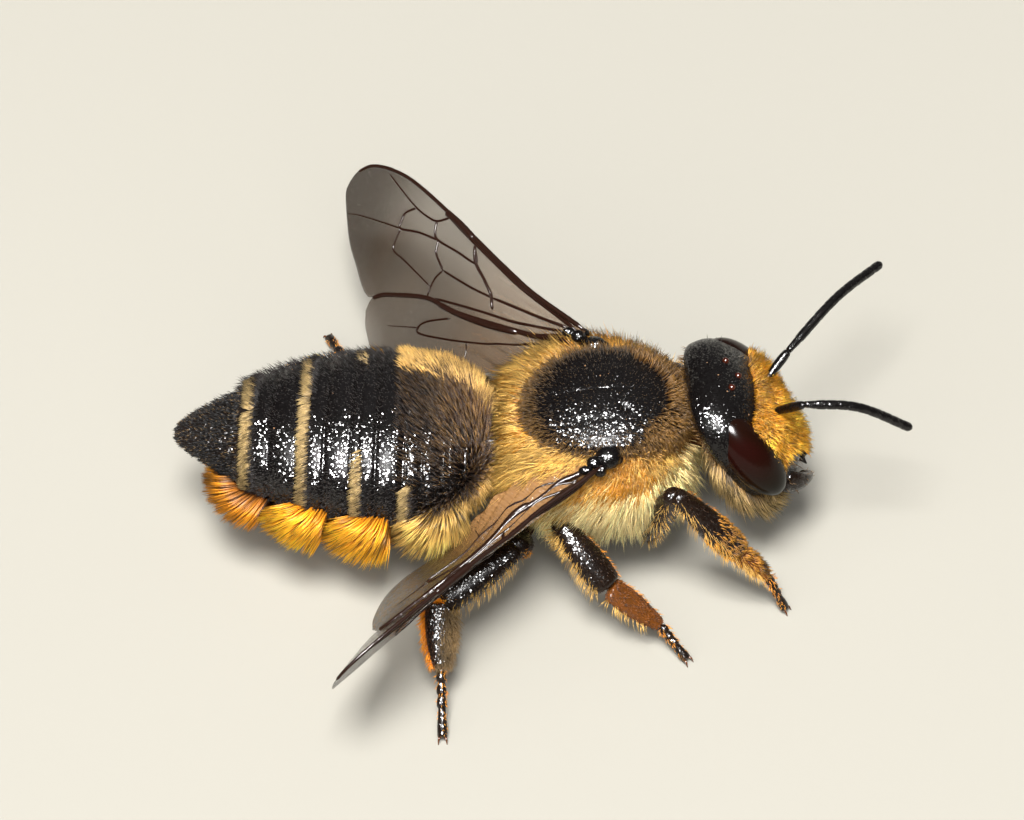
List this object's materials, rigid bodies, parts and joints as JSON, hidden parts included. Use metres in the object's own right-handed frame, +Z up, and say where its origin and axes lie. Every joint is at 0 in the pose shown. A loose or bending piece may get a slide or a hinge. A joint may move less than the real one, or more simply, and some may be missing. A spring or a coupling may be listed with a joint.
{
  "type": "leafcutter bee",
  "caption": "Life-size still model of a furry female leafcutter bee standing on its feet, with raised smoky wings, banded abdomen and pollen brush.",
  "frame": {"origin": "on the floor under the centre of the bee's bounding box, feet and wings included", "axes": "+X the way the bee faces, +Y to the bee's left, +Z up"},
  "size_m": [0.015, 0.0136, 0.0046],
  "materials": {
    "coat_buff": "dense fine hair, golden buff, matt",
    "coat_dark": "short dark brown hair over black shell",
    "coat_face": "dense orange-gold hair",
    "coat_brush": "stiff orange pollen-brush hair",
    "shell_black": "black chitin, finely pitted, glossy",
    "leg_brown": "dark brown chitin, satin, with sparse golden hair",
    "foot_rust": "rust-brown chitin under short felted hair",
    "eye_dark": "very dark brown compound eye, smooth and glossy",
    "wing_film": "thin smoky brown transparent membrane with dark veins"
  },
  "bodies": {
    "root": {"thorax": "coat_buff", "scutum": "shell_black", "abdomen_1": "coat_dark", "abdomen_2": "coat_dark", "abdomen_3": "shell_black", "abdomen_4": "shell_black", "abdomen_5": "shell_black", "abdomen_6": "shell_black", "petiole": "shell_black", "neck": "shell_black", "scopa_1": "coat_brush", "scopa_2": "coat_brush", "scopa_3": "coat_brush", "scopa_4": "coat_brush", "head": "shell_black", "face": "coat_face", "eye_left": "eye_dark", "eye_right": "eye_dark", "ocellus_front": "eye_dark", "ocellus_left": "eye_dark", "ocellus_right": "eye_dark", "mandible_left": "shell_black", "scape_left": "shell_black", "flagellum_left": "shell_black", "tegula_left": "shell_black", "forewing_left": "wing_film", "hindwing_left": "wing_film", "coxa_front_left": "coat_dark", "femur_front_left": "leg_brown", "tibia_front_left": "leg_brown", "tarsus_front_left": "foot_rust", "coxa_middle_left": "coat_dark", "femur_middle_left": "leg_brown", "tibia_middle_left": "leg_brown", "tarsus_middle_left": "foot_rust", "coxa_hind_left": "coat_dark", "femur_hind_left": "leg_brown", "tibia_hind_left": "leg_brown", "tarsus_hind_left": "foot_rust", "mandible_right": "shell_black", "scape_right": "shell_black", "flagellum_right": "shell_black", "tegula_right": "shell_black", "forewing_right": "wing_film", "hindwing_right": "wing_film", "coxa_front_right": "coat_dark", "femur_front_right": "leg_brown", "tibia_front_right": "leg_brown", "tarsus_front_right": "foot_rust", "coxa_middle_right": "coat_dark", "femur_middle_right": "leg_brown", "tibia_middle_right": "leg_brown", "tarsus_middle_right": "foot_rust", "coxa_hind_right": "coat_dark", "femur_hind_right": "leg_brown", "tibia_hind_right": "leg_brown", "tarsus_hind_right": "foot_rust"}
  },
  "joints": []
}
